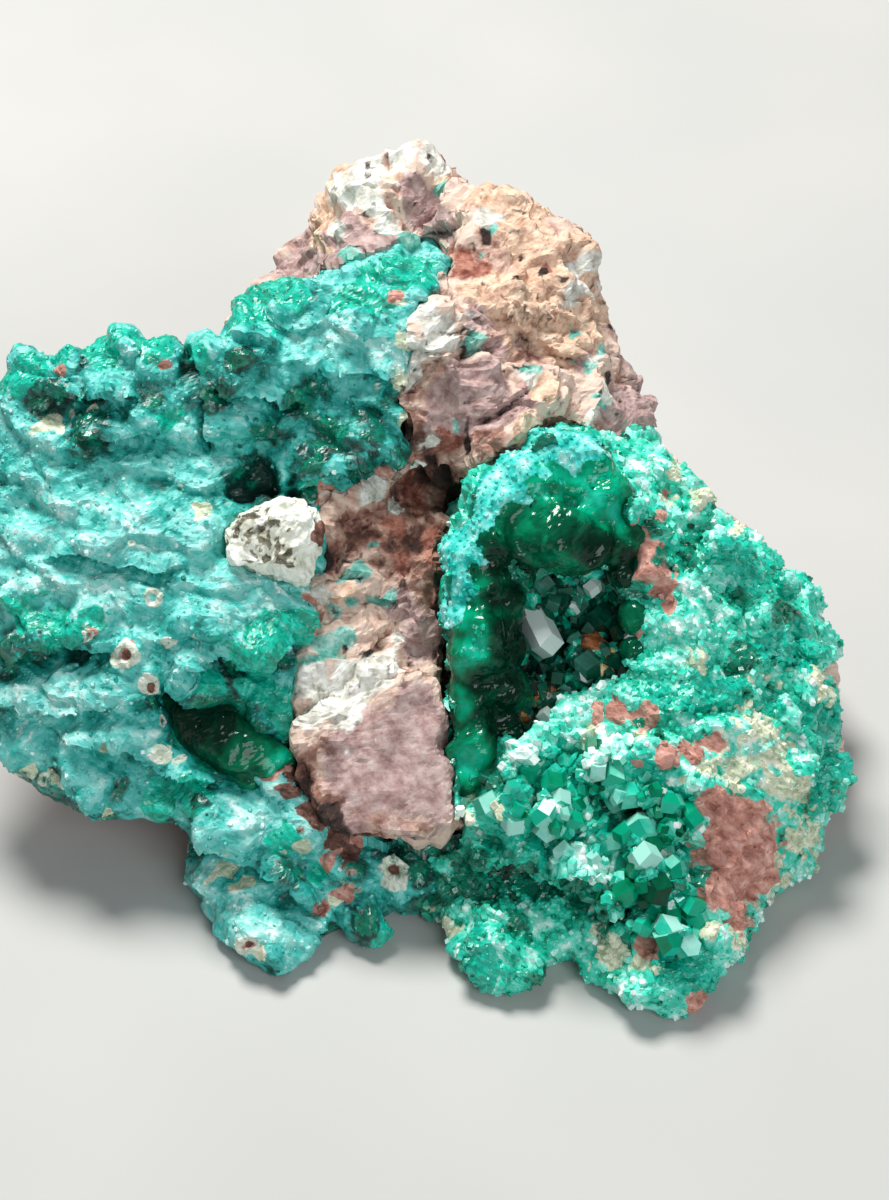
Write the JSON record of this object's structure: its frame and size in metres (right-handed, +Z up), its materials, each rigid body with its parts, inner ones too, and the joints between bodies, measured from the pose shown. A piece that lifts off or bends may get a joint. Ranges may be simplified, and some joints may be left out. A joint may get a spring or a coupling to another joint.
{
  "type": "mineral specimen",
  "caption": "Hand specimen of green dioptase crystals and blue-green druse on red-brown host rock, with a crystal-lined hollow; rests on a flat base.",
  "frame": {"origin": "centre of the specimen's bounding box, at the flat base", "axes": "+Z up from the base, +X to the specimen's right as its crystal face is looked at, -Y towards the low front edge"},
  "size_m": [0.0637, 0.0559, 0.0352],
  "materials": {
    "host_rock": "iron-stained carbonate rock, broken and dull",
    "left_druse": "blue-green druse, sugary with small sparkles",
    "right_druse": "green crystal crust, glassy faces",
    "pocket_crystals": "dark emerald prisms, clear and glassy",
    "calcite_knob": "cream-white, chalky"
  },
  "bodies": {
    "root": {"host_rock": "host_rock", "left_druse": "left_druse", "right_druse": "right_druse", "pocket_crystals": "pocket_crystals", "calcite_knob": "calcite_knob"}
  },
  "joints": []
}
